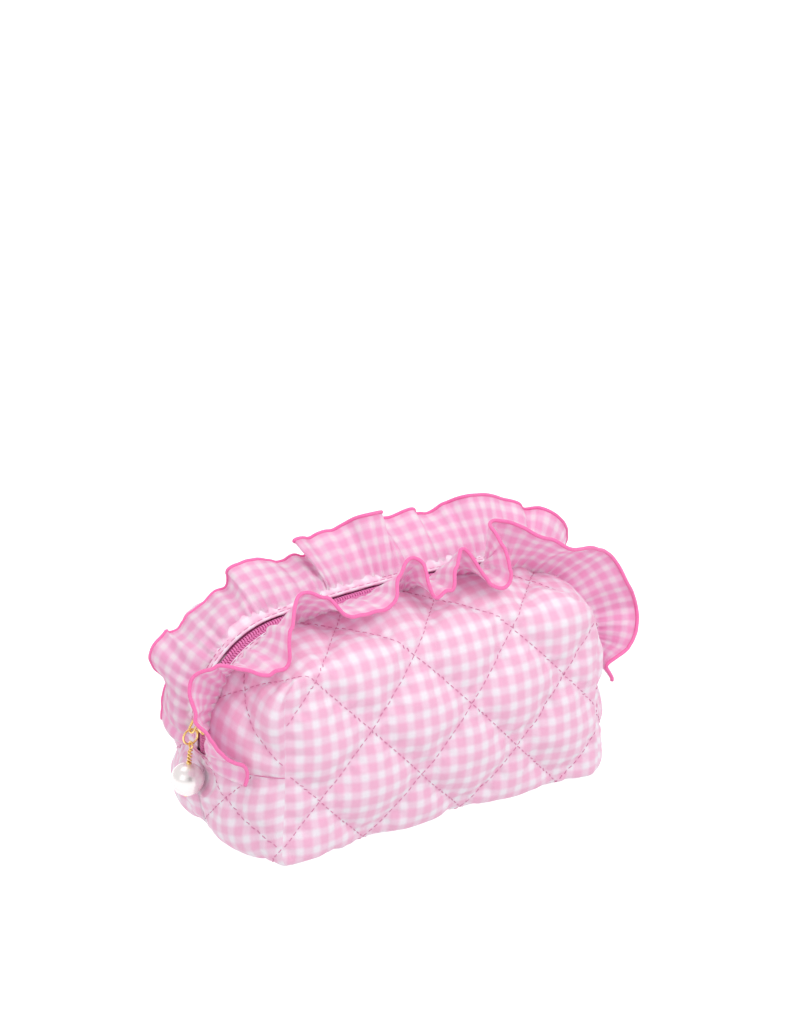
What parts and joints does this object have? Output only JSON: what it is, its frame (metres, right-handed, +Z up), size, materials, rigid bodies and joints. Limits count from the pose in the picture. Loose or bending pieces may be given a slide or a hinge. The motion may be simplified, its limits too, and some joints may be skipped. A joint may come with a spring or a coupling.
{
  "type": "makeup bag",
  "caption": "Boxy quilted zip pouch with a gathered ruffle on each side of the zip and a bead charm on the slider; the two upper halves open outwards.",
  "frame": {"origin": "centre of the bottom face, on the surface that the pouch stands on", "axes": "+X along the length, away from the closed slider; front wall faces -Y; +Z up"},
  "size_m": [0.2333, 0.103, 0.1251],
  "materials": {
    "gingham_cotton": "matt woven cotton, pink and white check",
    "wadding": "soft polyester wadding",
    "lining_cotton": "matt plain cotton",
    "ruffle_cotton": "matt thin woven cotton, pink and white check",
    "rolled_hem": "matt overlocked thread",
    "binding_tape": "matt woven tape",
    "zip_tape": "matt woven polyester tape",
    "zip_coil": "nylon coil, slight gloss",
    "gold_metal": "polished gold plating",
    "pearl": "pearlescent"
  },
  "bodies": {
    "root": {"back_fold_band": "gingham_cotton", "back_left_lower_corner_binding": "binding_tape", "back_left_tail_coil": "zip_coil", "back_left_tail_tape": "zip_tape", "back_right_lower_corner_binding": "binding_tape", "back_right_tail_coil": "zip_coil", "back_right_tail_tape": "zip_tape", "front_fold_band": "gingham_cotton", "front_left_lower_corner_binding": "binding_tape", "front_left_tail_coil": "zip_coil", "front_left_tail_tape": "zip_tape", "front_right_lower_corner_binding": "binding_tape", "front_right_tail_coil": "zip_coil", "front_right_tail_tape": "zip_tape", "left_end_seam_binding": "binding_tape", "lower_cover": "gingham_cotton", "lower_lining": "lining_cotton", "lower_wadding": "wadding", "right_end_seam_binding": "binding_tape"},
    "front_half": {"front_cover": "gingham_cotton", "front_left_upper_corner_binding": "binding_tape", "front_lining": "lining_cotton", "front_right_upper_corner_binding": "binding_tape", "front_ruffle": "ruffle_cotton", "front_ruffle_hem": "rolled_hem", "front_wadding": "wadding", "front_zipper_coil": "zip_coil", "front_zipper_tape": "zip_tape"},
    "back_half": {"back_cover": "gingham_cotton", "back_left_upper_corner_binding": "binding_tape", "back_lining": "lining_cotton", "back_right_upper_corner_binding": "binding_tape", "back_ruffle": "ruffle_cotton", "back_ruffle_hem": "rolled_hem", "back_wadding": "wadding", "back_zipper_coil": "zip_coil", "back_zipper_tape": "zip_tape"},
    "slider": {"slider": "gold_metal"},
    "pull": {"pull_loop": "gold_metal"},
    "ring": {"jump_ring": "gold_metal"},
    "charm": {"eye_pin": "gold_metal"},
    "bead": {"pearl": "pearl"}
  },
  "joints": [
    {"name": "front_half_open", "type": "hinge", "parent": "root", "child": "front_half", "pos_m": [0, 0, 0.04], "axis": [-1, 0, 0], "range_deg": [-25, 0], "deforming": ["front_fold_band"]},
    {"name": "back_half_open", "type": "hinge", "parent": "root", "child": "back_half", "pos_m": [0, 0, 0.04], "axis": [-1, 0, 0], "range_deg": [0, 25], "deforming": ["back_fold_band"]},
    {"name": "slider_travel", "type": "hinge", "parent": "root", "child": "slider", "pos_m": [-0.052, 0, 0.05], "axis": [0, 1, 0], "range_deg": [0, 70]},
    {"name": "pull_swing", "type": "hinge", "parent": "slider", "child": "pull", "pos_m": [-0.0973, 0, 0.0574], "axis": [0, 1, 0], "range_deg": [0, 120]},
    {"name": "ring_swing", "type": "hinge", "parent": "pull", "child": "ring", "pos_m": [-0.10112, 0, 0.05129], "axis": [0, 1, 0], "range_deg": [0, 75]},
    {"name": "charm_swing", "type": "hinge", "parent": "ring", "child": "charm", "pos_m": [-0.10112, 0, 0.04544], "axis": [1, 0, 0], "range_deg": [-25, 25]},
    {"name": "bead_spin", "type": "hinge", "parent": "charm", "child": "bead", "pos_m": [-0.10322, 0, 0.02893], "axis": [0.1305, 0, 0.9914], "continuous": true}
  ]
}
